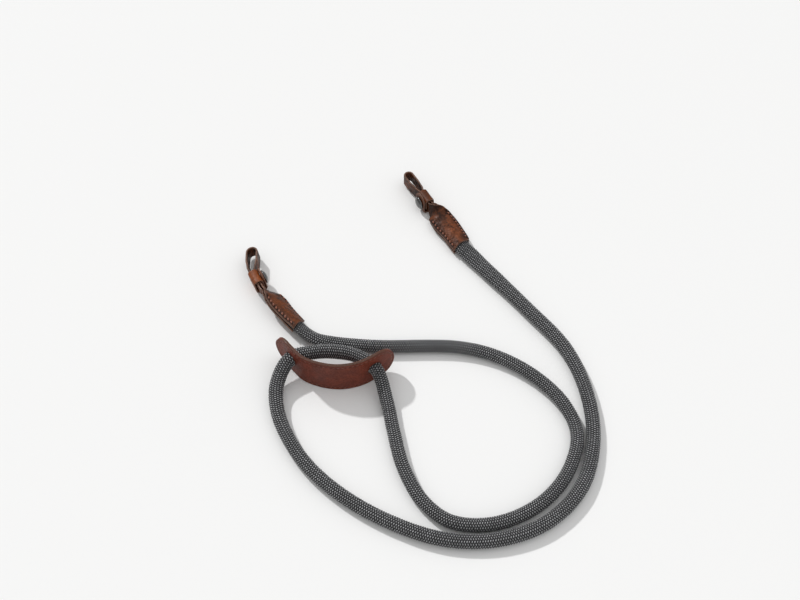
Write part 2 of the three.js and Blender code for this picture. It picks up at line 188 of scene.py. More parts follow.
class LeatherSettings(PropertyGroup):
    """Sizes and colours of the leather and its thread."""

    edge_radius: length_setting("Edge Rounding", "Radius of the cut edges", 0.0005, 0.0001)
    tab_colour: colour_setting("Tab Colour", "The lug tabs", (0.115, 0.032, 0.0095))
    keeper_colour: colour_setting("Keeper Colour", "The keepers", (0.19, 0.052, 0.0145))
    pad_colour: colour_setting("Pad Colour", "The shoulder pad", (0.175, 0.033, 0.0145))
    raw_colour: colour_setting("Raw Edge Colour", "The cut edges", (0.17, 0.095, 0.068))
    thread_colour: colour_setting("Thread Colour", "The stitches", (0.29, 0.11, 0.068))


class MetalSettings(PropertyGroup):
    """Sizes and colours of the snaps."""

    cap_radius: length_setting("Cap Radius", "Radius of a snap's cap", 0.0045, 0.002)
    # The dark metal colour is a painted reflection of the black camera.
    colour: colour_setting("Metal Colour", "The plated metal", (0.15, 0.15, 0.15))


class StageSettings(PropertyGroup):
    """Floor, light and camera."""

    floor_colour: colour_setting("Floor Colour", "The floor", (0.86, 0.86, 0.855))
    key_strength: light_setting("Key Strength", "Strength of the key light", 1.85)
    fill_bright: light_setting("Fill Bright", "Strength of the soft source", 1.0)
    fill_level: light_setting("Fill Level", "Strength of the light all round", 0.12)
    camera_tilt: FloatProperty(
        name="Camera Tilt",
        description="How far the camera looks down from level",
        default=math.radians(54),
        subtype="ANGLE",
    )


# ---------- curves and tables
def eased(table, column, along):
    """A table's column at each distance, eased between rows: a + (b - a) (3 t^2 - 2 t^3)."""
    stops = np.asarray(table["along"], float)
    values = np.asarray(table[column], float)
    row = np.clip(np.searchsorted(stops, along, side="right") - 1, 0, len(stops) - 2)
    share = np.clip((along - stops[row]) / (stops[row + 1] - stops[row]), 0, 1)
    return values[row] + (values[row + 1] - values[row]) * share**2 * (3 - 2 * share)


def spaced(start, end, step):
    """Distances from start to end, both kept, at most a step apart."""
    return np.linspace(start, end, math.ceil(abs(end - start) / step) + 1)


def unit(vectors):
    """Each vector divided by its length."""
    return vectors / np.linalg.norm(vectors, axis=-1, keepdims=True)


class Path:
    """A centripetal Catmull-Rom curve through points, read by the distance along it.

    Each stretch is a cubic whose end tangents weigh the chords by the square root of their length.
    """

    STEPS = 120

    def __init__(self, points):
        points = np.array(points, float)
        before, after = 2 * points[0] - points[1], 2 * points[-1] - points[-2]
        ghosted = np.vstack([before, points, after])
        a, b, c, d = ghosted[:-3], ghosted[1:-2], ghosted[2:-1], ghosted[3:]
        first, middle, last = (
            np.sqrt(np.linalg.norm(q - p, axis=1))[:, None] for p, q in ((a, b), (b, c), (c, d))
        )
        start = ((b - a) / first - (c - a) / (first + middle) + (c - b) / middle) * middle
        end = ((c - b) / middle - (d - b) / (middle + last) + (d - c) / last) * middle
        t = np.arange(self.STEPS)[None, :, None] / self.STEPS
        b, c, start, end = (x[:, None] for x in (b, c, start, end))
        cubic = b + start * t + (3 * (c - b) - 2 * start - end) * t**2
        cubic = cubic + (2 * (b - c) + start + end) * t**3
        self.points = np.vstack([cubic.reshape(-1, points.shape[1]), points[-1]])
        lengths = np.linalg.norm(np.diff(self.points, axis=0), axis=1)
        self.distances = np.concatenate([[0], np.cumsum(lengths)])
        self.length = self.distances[-1]

    def at(self, along):
        """The point at each distance."""
        columns = [np.interp(along, self.distances, column) for column in self.points.T]
        return np.stack(columns, axis=-1)

    def direction(self, along):
        """The unit tangent at each distance."""
        step = 0.2
        low, high = np.maximum(along - step, 0), np.minimum(along + step, self.length)
        return unit(self.at(high) - self.at(low))


def frames(path, along):
    """Middle, forward, side and lift at each distance; side is level, to the right of forward."""
    middle, forward = path.at(along), path.direction(along)
    side = unit(np.cross(forward, (0.0, 0.0, 1.0)))
    return middle, forward, side, np.cross(side, forward)


# ---------- meshes
def cells(index):
    """The corners of the cells of a grid of point numbers."""
    corners = (index[:-1, :-1], index[1:, :-1], index[1:, 1:], index[:-1, 1:])
    return np.stack(corners, axis=-1).reshape(-1, 4)


def grid_quads(rows, columns, first=0, wrap=False):
    """The corners of the faces of a grid of points; wrap joins its last row to its first."""
    index = first + np.arange(rows * columns).reshape(rows, columns)
    return cells(np.vstack([index, index[:1]]) if wrap else index)


def border(grid):
    """The entries round the outside of a grid, from its first corner down its first column."""
    return np.concatenate([grid[:-1, 0], grid[-1, :-1], grid[:0:-1, -1], grid[0, :0:-1]])


def closed_sheet(outer, inner):
    """The points and faces of the closed skin round two grids of points that face each other."""
    rows, columns = outer.shape[:2]
    under = rows * columns
    points = np.concatenate([outer.reshape(-1, 3), inner.reshape(-1, 3)])
    top = grid_quads(rows, columns)
    around = border(np.arange(under).reshape(rows, columns))
    onward = np.roll(around, -1)
    rim = np.stack([onward, around, under + around, under + onward], axis=-1)
    return points, np.concatenate([top, under + top[:, ::-1], rim])


def edge_spaced(half, steps, count, most=1.0):
    """Places across a strip from -half to half, a row for each half width: at the steps from each
    edge, pressed into a share of the half width where it is narrow, and evenly in between."""
    half = half[:, None]
    steps = np.minimum(steps, most * half * steps / steps[-1])
    middle = np.linspace(-1, 1, count)[1:-1] * (half - steps[:, -1:])
    return np.hstack([steps - half, middle, (half - steps)[:, ::-1]])


def signed_volume(points, quads):
    """A sixth of the sum of each triangle's triple product."""
    a, b, c, d = (points[quads[:, k]] for k in range(4))
    return (np.cross(a, b) * c + np.cross(a, c) * d).sum() / 6


def add_object(name, data):
    """An object for a mesh, a light or a camera, in the scene."""
    made = bpy.data.objects.new(name, data)
    bpy.context.scene.collection.objects.link(made)
    return made


def add_piece(name, points, quads, finish, values=None, uv=None, merge=0.0):
    """A smooth mesh object that rides with the part. Points are in millimetres, and a face whose
    neighbouring corners are the same is a triangle. values holds numbers for each point by name."""
    if signed_volume(points, quads) < 0:
        quads = quads[:, ::-1]
    faces = [[k for i, k in enumerate(quad) if k != quad[i - 1]] for quad in quads.tolist()]
    mesh = bpy.data.meshes.new(name)
    mesh.from_pydata(points * MM, [], faces, shade_flat=False)
    for key, numbers in (values or {}).items():
        layer = mesh.attributes.new(key, "FLOAT", "POINT")
        layer.data.foreach_set("value", np.asarray(numbers, np.float32).ravel())
    if uv is not None:
        layer = mesh.uv_layers.new(name="weave")
        layer.data.foreach_set("uv", uv[np.concatenate(faces)].astype(np.float32).ravel())
    if mesh.validate():
        raise RuntimeError(f"{name} has faces that don't hold together")
    if merge:
        work = bmesh.new()
        work.from_mesh(mesh)
        bmesh.ops.remove_doubles(work, verts=work.verts, dist=merge * MM)
        bmesh.ops.dissolve_degenerate(work, edges=work.edges, dist=merge * MM)
        work.to_mesh(mesh)
        work.free()
    mesh.materials.append(finish)
    piece = add_object(name, mesh)
    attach(piece, "root")
    return piece


def bead(stations, radii, sides):
    """A closed bead as (along, across, up) from -1 to 1: a pole, rings of points and a pole."""
    angle = 2 * np.pi * np.arange(sides) / sides + np.pi / 2
    along = np.concatenate([[-1], np.repeat(stations, sides), [1]])
    width = np.repeat(radii, sides)
    across = np.concatenate([[0], width * np.tile(np.cos(angle), len(radii)), [0]])
    up = np.concatenate([[0], width * np.tile(np.sin(angle), len(radii)), [0]])
    return along, across, up


def bead_quads(copies, rings, sides):
    """The faces of many beads, one after another in the points. Two corners meet in a pole."""
    last = 1 + rings * sides
    index = np.concatenate([[0] * sides, np.arange(1, last), [last] * sides]).reshape(-1, sides).T
    one = cells(np.vstack([index, index[:1]]))
    return (np.arange(copies)[:, None, None] * (last + 1) + one).reshape(-1, 4)


def squeeze(distance, radius):
    """How far a rounded edge has dropped: r - sqrt(r^2 - (r - d)^2) within r of the edge."""
    inside = np.clip(radius - distance, 0, radius)
    return radius - np.sqrt(radius**2 - inside**2)


def edge_mask(distance, radius):
    """1 at a cut edge, fading to 0 where its rounding ends."""
    return np.clip(1.2 - distance / (0.8 * radius), 0, 1)


# ---------- finishes
class Nodes:
    """The nodes of a material or a world, with short ways to add and join them."""

    def __init__(self, owner, shader):
        owner.use_nodes = True
        self.tree = owner.node_tree
        self.shader = self.tree.nodes[shader]

    def put(self, socket, value):
        if isinstance(value, bpy.types.NodeSocket):
            self.tree.links.new(value, socket)
        else:
            socket.default_value = value

    def node(self, kind, inputs=(), **settings):
        node = self.tree.nodes.new("ShaderNode" + kind)
        for key, value in settings.items():
            setattr(node, key, value)
        for key, value in dict(inputs).items():
            self.put(node.inputs[key], value)
        return node

    def shade(self, **inputs):
        for key, value in inputs.items():
            self.put(self.shader.inputs[key.replace("_", " ")], value)

    def place(self, space="Object"):
        return self.node("TexCoord").outputs[space]

    def value(self, name):
        return self.node("Attribute", attribute_name=name).outputs["Fac"]

    def noise(self, place, scale, detail=2.0, distortion=0.0, roughness=0.5):
        inputs = {"Vector": place, "Scale": scale, "Detail": detail}
        inputs.update({"Distortion": distortion, "Roughness": roughness})
        return self.node("TexNoise", inputs).outputs["Fac"]

    def stretched(self, place, scale):
        return self.node("Mapping", {"Vector": place, "Scale": scale}).outputs["Vector"]

    def maths(self, operation, first, second=0.5, third=0.5):
        inputs = {0: first, 1: second, 2: third}
        return self.node("Math", inputs, operation=operation).outputs[0]

    def product(self, first, second):
        return self.maths("MULTIPLY", first, second)

    def spread(self, value, low, high, to_low=0.0, to_high=1.0):
        """A value mapped from low..high to to_low..to_high, and held there beyond."""
        inputs = {0: value, 1: low, 2: high, 3: to_low, 4: to_high}
        return self.node("MapRange", inputs).outputs[0]

    def shades(self, share, colour, dark, light):
        """A colour that goes from one factor on it to another."""
        return self.mix(share, rgba(colour, dark), rgba(colour, light))

    def mix(self, share, first, second, blend="MIX"):
        node = self.node("Mix", data_type="RGBA", blend_type=blend)
        for index, value in ((0, share), (6, first), (7, second)):
            self.put(node.inputs[index], value)
        return node.outputs[2]

    def bump(self, height, strength, distance):
        inputs = {"Height": height, "Strength": strength, "Distance": distance * MM}
        return self.node("Bump", inputs).outputs["Normal"]


class Finish(Nodes):
    """A material on a principled shader."""

    def __init__(self, name):
        self.material = bpy.data.materials.new(name)
        super().__init__(self.material, "Principled BSDF")


def rgba(colour, times=1.0):
    """A colour made lighter or darker by a factor, with full alpha."""
    return (*(min(channel * times, 1.0) for channel in colour), 1.0)


# Each leather: the strength of its creases, its mottling's darkest and lightest as factors on its
# colour, and its middle roughness.
LEATHERS = {
    "tab": {"creases": 1.5, "dark": 0.16, "light": 1.25, "roughness": 0.44},
    "keeper": {"creases": 0.35, "dark": 0.7, "light": 1.3, "roughness": 0.42},
    "pad": {"creases": 0.12, "dark": 0.8, "light": 1.15, "roughness": 0.5},
}
CREASE_SHADE = 0.16
# Painted shade in the seam's groove, as a factor on the leather's colour.
GROOVE_SHADE = 0.1
SPECK_SHADE = 0.5
# The bulge of a tab is made paler by this factor: wear and a painted highlight.
WEAR_AND_HIGHLIGHT_LIGHT = 2.1


def leather_finish(name, kind, colour, raw):
    """Waxed leather: a mottled colour with dark creases, paler from wear and a painted highlight on
    a tab's bulge, darker in the seam's groove, which is painted shade, and in the margin beside it,
    and burnished on its cut edge."""
    traits = LEATHERS[kind]
    made = Finish(name)
    place = made.place()
    broad = made.noise(place, 140, detail=4, distortion=0.4, roughness=0.6)
    fine = made.noise(place, 900, detail=3, distortion=0.2, roughness=0.6)
    veins = made.noise(place, 420, detail=5, distortion=1.1, roughness=0.62)
    fibres = made.noise(made.stretched(place, (1.0, 1.0, 3.0)), 1500, detail=3)
    pores = made.node("TexVoronoi", {"Vector": place, "Scale": 1500.0}).outputs["Distance"]
    edge = made.value("edge")

    vein_line = made.maths("ABSOLUTE", made.maths("SUBTRACT", veins, 0.5))
    crease = made.product(
        made.spread(vein_line, 0.0, 0.04, 1, 0), made.spread(broad, 0.38, 0.6, 1.0, 0.25)
    )
    crease = made.product(crease, traits["creases"])
    specks = made.spread(fine, 0.42, 0.6, 0.0, 0.5)
    # Paler on a tab's bulge: wear and a painted highlight.
    wear_and_highlight_mask = made.product(made.value("wear_and_highlight"), made.spread(fine, 0.3, 0.6, 0.85, 0.35))
    light = traits["light"]

    shade = made.shades(made.spread(broad, 0.41, 0.6), colour, traits["dark"], light)
    shade = made.mix(specks, shade, rgba(colour, SPECK_SHADE))
    shade = made.mix(wear_and_highlight_mask, shade, rgba(colour, light * WEAR_AND_HIGHLIGHT_LIGHT))
    # Painted shade in the seam's groove, and darker in the margin outside it.
    shade = made.mix(made.product(made.value("seam"), 0.92), shade, rgba(colour, GROOVE_SHADE))
    shade = made.mix(made.product(crease, 0.85), shade, rgba(colour, CREASE_SHADE))
    burnished = made.shades(made.spread(fibres, 0.35, 0.65), raw, 0.5, 1.4)
    worn_edge = made.product(edge, made.spread(broad, 0.3, 0.7, 0.7, 1.0))
    shade = made.mix(worn_edge, shade, burnished)

    height = made.maths("MULTIPLY_ADD", pores, 0.35, made.product(fine, 0.5))
    height = made.maths("SUBTRACT", height, made.product(crease, 1.4))
    middle = traits["roughness"]
    rough = made.spread(fine, 0.3, 0.7, middle - 0.08, middle + 0.12)
    made.shade(
        Base_Color=shade,
        Roughness=made.maths("SUBTRACT", rough, made.product(edge, 0.14)),
        Normal=made.bump(height, 0.6, 0.12),
        Specular_IOR_Level=0.22,
    )
    return made.material


def braid_finish(name, strand, gap, painted_sheen):
    """Filament yarn, glossy, with painted light on the crown of each strand and painted shade where
    it dips.
    """
    made = Finish(name)
    weave = made.node("UVMap", uv_map="weave").outputs["UV"]
    filaments = made.noise(made.stretched(weave, (0.9, 9.0, 1.0)), 1.0, detail=2)
    patches = made.spread(made.noise(made.place(), 60, detail=3), 0.3, 0.7, 0.85, 1.15)
    tone_and_mouth_shade = made.product(made.maths("MULTIPLY_ADD", made.value("tone_and_mouth_shade"), 0.5, 0.75), patches)
    painted_crown_light = made.spread(made.value("painted_crown_light"), 0.5, 1.0)
    shade = made.mix(painted_crown_light, rgba(gap), rgba(strand, painted_sheen))
    streaks = made.shades(made.spread(filaments, 0.3, 0.7), (1.0, 1.0, 1.0), 0.7, 1.0)
    shade = made.mix(1.0, shade, streaks, "MULTIPLY")
    made.shade(
        Base_Color=made.node("HueSaturation", {"Value": tone_and_mouth_shade, "Color": shade}).outputs["Color"],
        Roughness=0.36,
        IOR=1.6,
        Specular_IOR_Level=0.95,
        Normal=made.bump(filaments, 0.5, 0.06),
    )
    return made.material


def core_finish(name, gap):
    """The yarn between the ribs of the braid, dark with the dips' painted shade."""
    made = Finish(name)
    grain = made.noise(made.place(), 1500, detail=2)
    made.shade(
        Base_Color=made.shades(made.spread(grain, 0.3, 0.7), gap, 0.6, 1.6),
        Roughness=0.8,
        Normal=made.bump(grain, 0.5, 0.1),
    )
    return made.material


def thread_finish(name, colour):
    """Twisted, waxed thread."""
    made = Finish(name)
    inputs = {
        "Vector": made.node("UVMap", uv_map="weave").outputs["UV"],
        "Scale": 1.3,
        "Distortion": 0.3,
    }
    twist = made.node("TexWave", inputs, bands_direction="DIAGONAL").outputs["Fac"]
    made.shade(
        Base_Color=made.shades(twist, colour, 0.5, 1.5),
        Roughness=0.5,
        Normal=made.bump(twist, 0.5, 0.08),
    )
    return made.material


def metal_finish(name, colour):
    """Plated metal with faint wear, its colour darkened as a painted reflection of the black
    camera.
    """
    made = Finish(name)
    place = made.place()
    smear = made.noise(place, 500, detail=3, distortion=0.5)
    scratches = made.noise(made.stretched(place, (1.0, 14.0, 5.0)), 900, detail=2)
    made.shade(
        Base_Color=made.shades(made.spread(smear, 0.35, 0.65), colour, 0.9, 1.0),
        Metallic=1.0,
        Roughness=made.spread(smear, 0.3, 0.7, 0.2, 0.32),
        Normal=made.bump(scratches, 0.06, 0.03),
    )
    return made.material


def floor_finish(name, colour):
    """A matt painted surface."""
    made = Finish(name)
    grain = made.noise(made.place(), 350, detail=4)
    made.shade(
        Base_Color=made.shades(made.spread(grain, 0.2, 0.8), colour, 0.995, 1.0),
        Roughness=0.75,
        Specular_IOR_Level=0.2,
    )
    return made.material


# ---------- rope
class Rope:
    """The rope's middle line and section, from inside one tab to inside the other."""

    def __init__(self):
        routes = [np.array(ENDS[name]["route"]) for name in ("left", "right")]
        inside = [Path(route).at(np.array([ROPE_HIDDEN, ROPE_HIDDEN / 2])) for route in routes]
        points = np.vstack([inside[0], ROPE_ROUTE, inside[1][::-1]]) + LAYOUT_SHIFT
        self.path = Path(points)
        from_mouth = self.path.points - np.array(ROPE_ROUTE[0]) - LAYOUT_SHIFT
        self.mouth = self.path.distances[np.linalg.norm(from_mouth, axis=1).argmin()]
        self.length = self.path.length

    def section(self, column, along):
        return eased(ROPE_SECTIONS, column, along - self.mouth)

    def frame(self, along):
        """Middle, forward, across and up of the section, turned by its roll about forward."""
        middle, forward, side, lift = frames(self.path, along)
        middle = middle - lift * self.section("drop", along)[..., None]
        roll = np.radians(self.section("roll", along))[..., None]
        across = side * np.cos(roll) + lift * np.sin(roll)
        return middle, forward, across, lift * np.cos(roll) - side * np.sin(roll)

    def surface(self, along, turn, height):
        """The middle + (a + h) cos(t) across + (b + h) sin(t) up, with t eased so that equal
        turns are about equally far apart round the oval: t = turn + e / 4 sin(2 turn)."""
        middle, _, across, up = self.frame(along)
        wide, high = (self.section(half, along) for half in ("wide", "high"))
        flatness = (wide**2 - high**2) / (wide**2 + high**2)
        angle = turn + flatness / 4 * np.sin(2 * turn)
        sideways = ((wide + height) * np.cos(angle))[..., None] * across
        return middle + sideways + ((high + height) * np.sin(angle))[..., None] * up


# The core, by how deep it lies under the rope's surface, and the strands of the braid: the angle
# that they make with the rope, their size, how far their ends dip, how the painted light on a
# strand's crown gives way to painted shade towards its ends, how far the strands are out of step
# and out of level, and how widely they are spread over the pattern of filaments.
CORE_DEPTH = 0.55
CORE_SIDES = 36
CORE_STEP = 1.6
CORD_STEP = 2.0
STRAND_ANGLE = math.radians(74)
STRAND_LENGTH = 2.1
STRAND_WIDTH = 1.0
STRAND_HEIGHT = 0.5
STRAND_DIP = 0.28
STRAND_RINGS = np.array([-0.62, 0.0, 0.62])
STRAND_RADII = np.array([0.85, 1.0, 0.85])
STRAND_SIDES = 5
CROWN_PAINTED_SHADE = (0.7, 2.5)
OUT_OF_STEP = 0.05
OUT_OF_LEVEL = 0.03
WEAVE_SPREAD = 40
SEEDS = {1: 11, -1: 12}

# The braid runs on a little way into each mouth, and is darker near it: painted shade next to the
# sewn ends. It also winds to and fro: each wave turns it by some radians, and has its length over
# 2 pi and its phase.
STRAND_SHOWN_INSIDE = 5.0
MOUTH_SHADE = 1.0
MOUTH_SHADE_LENGTH = 14.0
WINDING = ((0.22, 47.0, 0.0), (0.1, 19.0, 1.0))


def rope_core(rope, finish):
    """A tube round the rope's middle, closed at both ends by a fan of faces to a middle point."""
    along = spaced(0, rope.length, CORE_STEP)
    turn = 2 * np.pi * np.arange(CORE_SIDES) / CORE_SIDES
    tube = rope.surface(along[:, None] + 0 * turn, turn + 0 * along[:, None], -CORE_DEPTH)
    start, end = rope.frame(along[[0, -1]])[0]
    points = np.vstack([start, tube.reshape(-1, 3), end])
    return add_piece("braided_rope", points, bead_quads(1, len(along), CORE_SIDES), finish)


def braid_strands(rope, settings, lay, finish):
    """Every other rib of the braid: strands stacked at the strand step, each a bead laid at the
    braid's angle on the rope, highest in its middle and dipping under its neighbours at its ends.
    Along the rope s = s0 + u cos(a) - lay v sin(a), and round it q = lay u sin(a) + v cos(a)."""
    step = settings.strand_step / MM
    ribs = np.arange(0 if lay > 0 else 1, settings.ribs, 2)
    first = rope.mouth - STRAND_SHOWN_INSIDE
    last = rope.length - (rope.mouth - STRAND_SHOWN_INSIDE)
    stations = np.arange(first, last, step)
    rib, station = (x.ravel() for x in np.meshgrid(ribs, stations, indexing="ij"))
    rng = np.random.default_rng(SEEDS[lay])
    station = station + (0.5 * step if lay < 0 else 0)
    station = station + rng.normal(0, OUT_OF_STEP, station.shape)
    u, v, up = bead(STRAND_RINGS, STRAND_RADII, STRAND_SIDES)
    lengthwise, crosswise = u * STRAND_LENGTH / 2, v * STRAND_WIDTH / 2
    along = lengthwise * math.cos(STRAND_ANGLE) - lay * crosswise * math.sin(STRAND_ANGLE)
    around = lay * lengthwise * math.sin(STRAND_ANGLE) + crosswise * math.cos(STRAND_ANGLE)
    height = STRAND_HEIGHT * (up - 1) - STRAND_DIP * u**2
    radius = settings.diameter / MM / 2
    turn = 2 * np.pi * (rib + 0.5) / settings.ribs
    twist = sum(size * np.sin(station / pace + start) for size, pace, start in WINDING)
    lift = rng.normal(0, OUT_OF_LEVEL, station.shape)
    points = rope.surface(
        station[:, None] + along,
        (turn + twist)[:, None] + around / radius,
        height + lift[:, None],
    )
    # Painted light on each strand's crown, giving way to painted shade towards its ends.
    painted_crown_light = np.clip(up, 0, 1) * (1 - CROWN_PAINTED_SHADE[0] * np.abs(u) ** CROWN_PAINTED_SHADE[1])
    mouth_distance = np.minimum(station - rope.mouth, rope.length - rope.mouth - station)
    mouth_shade = MOUTH_SHADE * (1 - np.clip(mouth_distance / MOUTH_SHADE_LENGTH, 0, 1))
    # Each strand's random tone, darkened near the mouths as painted shade.
    tone_and_mouth_shade = (rng.random(station.shape) - mouth_shade)[:, None] + 0 * u
    uv = np.stack([lengthwise, crosswise], axis=-1)
    uv = uv[None] + rng.random((len(station), 1, 2)) * WEAVE_SPREAD
    return add_piece(
        "braid_right_lay" if lay > 0 else "braid_left_lay",
        points.reshape(-1, 3),
        bead_quads(len(station), len(STRAND_RINGS), STRAND_SIDES),
        finish,
        values={"painted_crown_light": np.broadcast_to(painted_crown_light, tone_and_mouth_shade.shape), "tone_and_mouth_shade": tone_and_mouth_shade},
        uv=uv.reshape(-1, 2),
    )


class STRAP_OT_rope(Operator):
    """Builds the braided rope"""

    bl_idname = "strap.rope"
    bl_label = "Braided Rope"

    def execute(self, context):
        settings = context.scene.strap_rope
        rope = Rope()
        core = rope_core(rope, core_finish("rope_core", settings.dip_shade_colour))
        strand, gap = settings.strand_colour, settings.dip_shade_colour
        # Lit and shaded copies of one yarn for the two lays: a painted sheen.
        strands = [
            braid_strands(rope, settings, 1, braid_finish("braid_painted_sheen_bright", strand, gap, 1.12)),
            braid_strands(rope, settings, -1, braid_finish("braid_painted_sheen_dull", strand, gap, 0.88)),
        ]
        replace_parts(core, "rope", "rope_end_left", "rope_end_right")
        line = rope.frame(spaced(0, rope.length, CORD_STEP))[0] * MM
        rope.frame(np.array([rope.mouth]))[0][0] * MM
        return {"FINISHED"}


# ---------- stitches
# A thread's shape in shares of half its length and of its radius, its slant from hole to hole, and
# how far one thread lies from the next in the pattern of twist.
STITCH_SIDES = 6
STITCH_RINGS = np.array([-0.86, -0.5, 0.0, 0.5, 0.86])
STITCH_RADII = np.array([0.72, 1.0, 1.0, 1.0, 0.72])
STITCH_RISE = 0.55
STITCH_PLUNGE = 2.0
STITCH_SLANT = 0.4
STITCH_UV_STEP = 7.3


def add_stitches(name, place, starts, length, radius, finish, slot):
    """Threads that rise out of one hole and go down the next. place(along, inward, height) gives a
    point of the seam; the middle of a thread is at h = r (rise (1 - u^2) - plunge u^4)."""
    u, v, up = bead(STITCH_RINGS, STITCH_RADII, STITCH_SIDES)
    height = radius * (STITCH_RISE * (1 - u**2) - STITCH_PLUNGE * u**4 + up)
    along = starts[:, None] + u * length / 2
    slant = STITCH_SLANT * u * radius
    points = place(along, radius * v + slant + 0 * along, height + 0 * along)
    uv = np.stack([u * length / 2, np.arctan2(up, v) * radius], axis=-1)
    uv = uv[None] + np.arange(len(starts))[:, None, None] * STITCH_UV_STEP
    quads = bead_quads(len(starts), len(STITCH_RINGS), STITCH_SIDES)
    return add_piece(name, points.reshape(-1, 3), quads, finish, uv=uv.reshape(-1, 2))


# ---------- lug tabs
# How far points lie from a cut edge; the seam's groove, from the edge and the mouth, and its
# painted shade; the waves of worn leather, up to the neck; the rows' spacing; where the leather is
# painted paler, from wear and as a highlight on its bulge; and the stitches.
EDGE_STEPS = np.array([0.0, 0.06, 0.2, 0.45, 0.85, 1.15, 1.45, 1.75, 2.1])
SEAM_INSET = 1.6
SEAM_WIDTH = 0.5
SEAM_LENGTH = (2.6, 31.0)
SEAM_DEPTH = 0.2
PUCKER_DEPTH = 0.4
# The share of the groove's darkening that the margin outside the seam gets.
SEAM_MARGIN_SHADE = 0.85
WAVE_HEIGHT = 0.12
WAVES_TO = 36
ROW_STEP = 0.5
NECK_ROW_STEP = 0.7
LOOP_STEPS = 20
WEAR_AND_HIGHLIGHT_AT = 13
WEAR_AND_HIGHLIGHT_REACH = 16
STITCH_PITCH = 3.1
STITCH_LENGTH = 2.05
STITCH_RADIUS = 0.5
STITCH_DEPTH = 0.22


class Tab:
    """A folded lug tab: two layers over the rope's end, a neck turned on edge, and the loop."""

    def __init__(self, end, edge_radius):
        self.end = end
        self.edge_radius = edge_radius
        self.path = Path(np.array(end["route"]) + LAYOUT_SHIFT)

    def frame(self, along):
        """Middle, forward, and the ways out of a layer and across it as the layers turn on edge."""
        middle, forward, side, lift = frames(self.path, np.asarray(along, float))
        side = -self.end["snap_side"] * side
        lean, neck = math.radians(self.end["lean"]), math.radians(self.end["neck_lean"])
        angle = lean + (neck - lean) * eased(TAB_SECTIONS, "turn", along)[..., None]
        face = lift * np.cos(angle) + side * np.sin(angle)
        return middle, forward, face, side * np.cos(angle) - lift * np.sin(angle)

    def half_gap(self, along, share):
        """edge + (middle - edge) (1 - share^2)^1.2, and half the loop's width where it opens."""
        edge, middle = (eased(TAB_SECTIONS, name, along) for name in ("edge", "middle"))
        neck = TAB_SECTIONS["middle"][-1]
        loop = eased(TAB_SECTIONS, "open", along) * (self.end["loop_half_width"] - neck)
        return edge + (middle - edge) * np.maximum(1 - share**2, 0) ** 1.2 + loop

    def mouth_cut(self, share):
        """How far back the mouth is cut: a slant, a dip in its middle and a rounded corner."""
        right = -self.end["snap_side"] * share
        corner = MOUTH_CORNER * np.maximum(right, 0) ** 6
        return self.end["mouth_slant"] * (1 + right) / 2 + MOUTH_DIP * (1 - right**2) + corner

    def layer(self, row, share, height, layer):
        """A point of a layer, where height is above its inner face and row runs from the mouth."""
        fade = np.maximum(1 - row / MOUTH_FADE, 0)
        along = row + fade * self.mouth_cut(share)
        middle, _, face, beside = self.frame(along)
        offset = share * self.width(along)
        out = layer * (self.half_gap(along, share) + height)
        return middle + beside * offset[..., None] + face * out[..., None]

    def turn(self, angle, share, height):
        """A point of the half circle round the lug: radius (h + r) at an angle from the face."""
        middle, forward, face, beside = self.frame(self.end["turn_at"])
        radius = (self.end["loop_half_width"] + height)[..., None]
        outwards = face * np.cos(angle)[..., None] + forward * np.sin(angle)[..., None]
        return middle + beside * (share * NECK_HALF_WIDTH)[..., None] + radius * outwards

    def width(self, row):
        """Half the width: the neck's, and the flare's share of the table's widening."""
        widening = eased(TAB_SECTIONS, "half_width", row) - NECK_HALF_WIDTH
        return NECK_HALF_WIDTH + self.end["flare"] * widening

    def keeper_frame(self):
        """The keeper's middle, forward, the side that its snap faces, and its own upward."""
        centre, forward, face, beside = self.frame(self.end["keeper_at"])
        return centre, forward, face, -beside

    def shares(self, row):
        """The columns across a layer at each row, as shares of half its width."""
        half = self.width(row)
        return edge_spaced(half, EDGE_STEPS, 13) / half[:, None]

    def seam_mask(self, row, share, margin=0.0):
        """1 on the seam's line and 0 away from it, with a share of 1 in the margin outside it."""
        inset = self.width(row) * (1 - np.abs(share))
        ends = np.clip(row - SEAM_LENGTH[0] + 1, 0, 1) * np.clip(SEAM_LENGTH[1] + 1 - row, 0, 1)
        line = np.exp(-(((inset - SEAM_INSET) / SEAM_WIDTH) ** 2))
        return np.maximum(line, np.where(inset < SEAM_INSET, margin, 0)) * ends

    def relief(self, row, share):
        """The seam's groove, puckered between its holes, and soft waves of worn leather."""
        seam = self.seam_mask(row, share)
        pucker = 0.5 + 0.5 * np.cos(2 * np.pi * (row - SEAM_LENGTH[0]) / STITCH_PITCH)
        waves = WAVE_HEIGHT * np.sin(row / 2.9 + 3 * share) * np.sin(row / 4.7 + 5 * share + 1)
        fade = np.clip((WAVES_TO - row) / 8, 0, 1)
        return waves * fade * (1 - share**4) - seam * (SEAM_DEPTH + PUCKER_DEPTH * pucker)


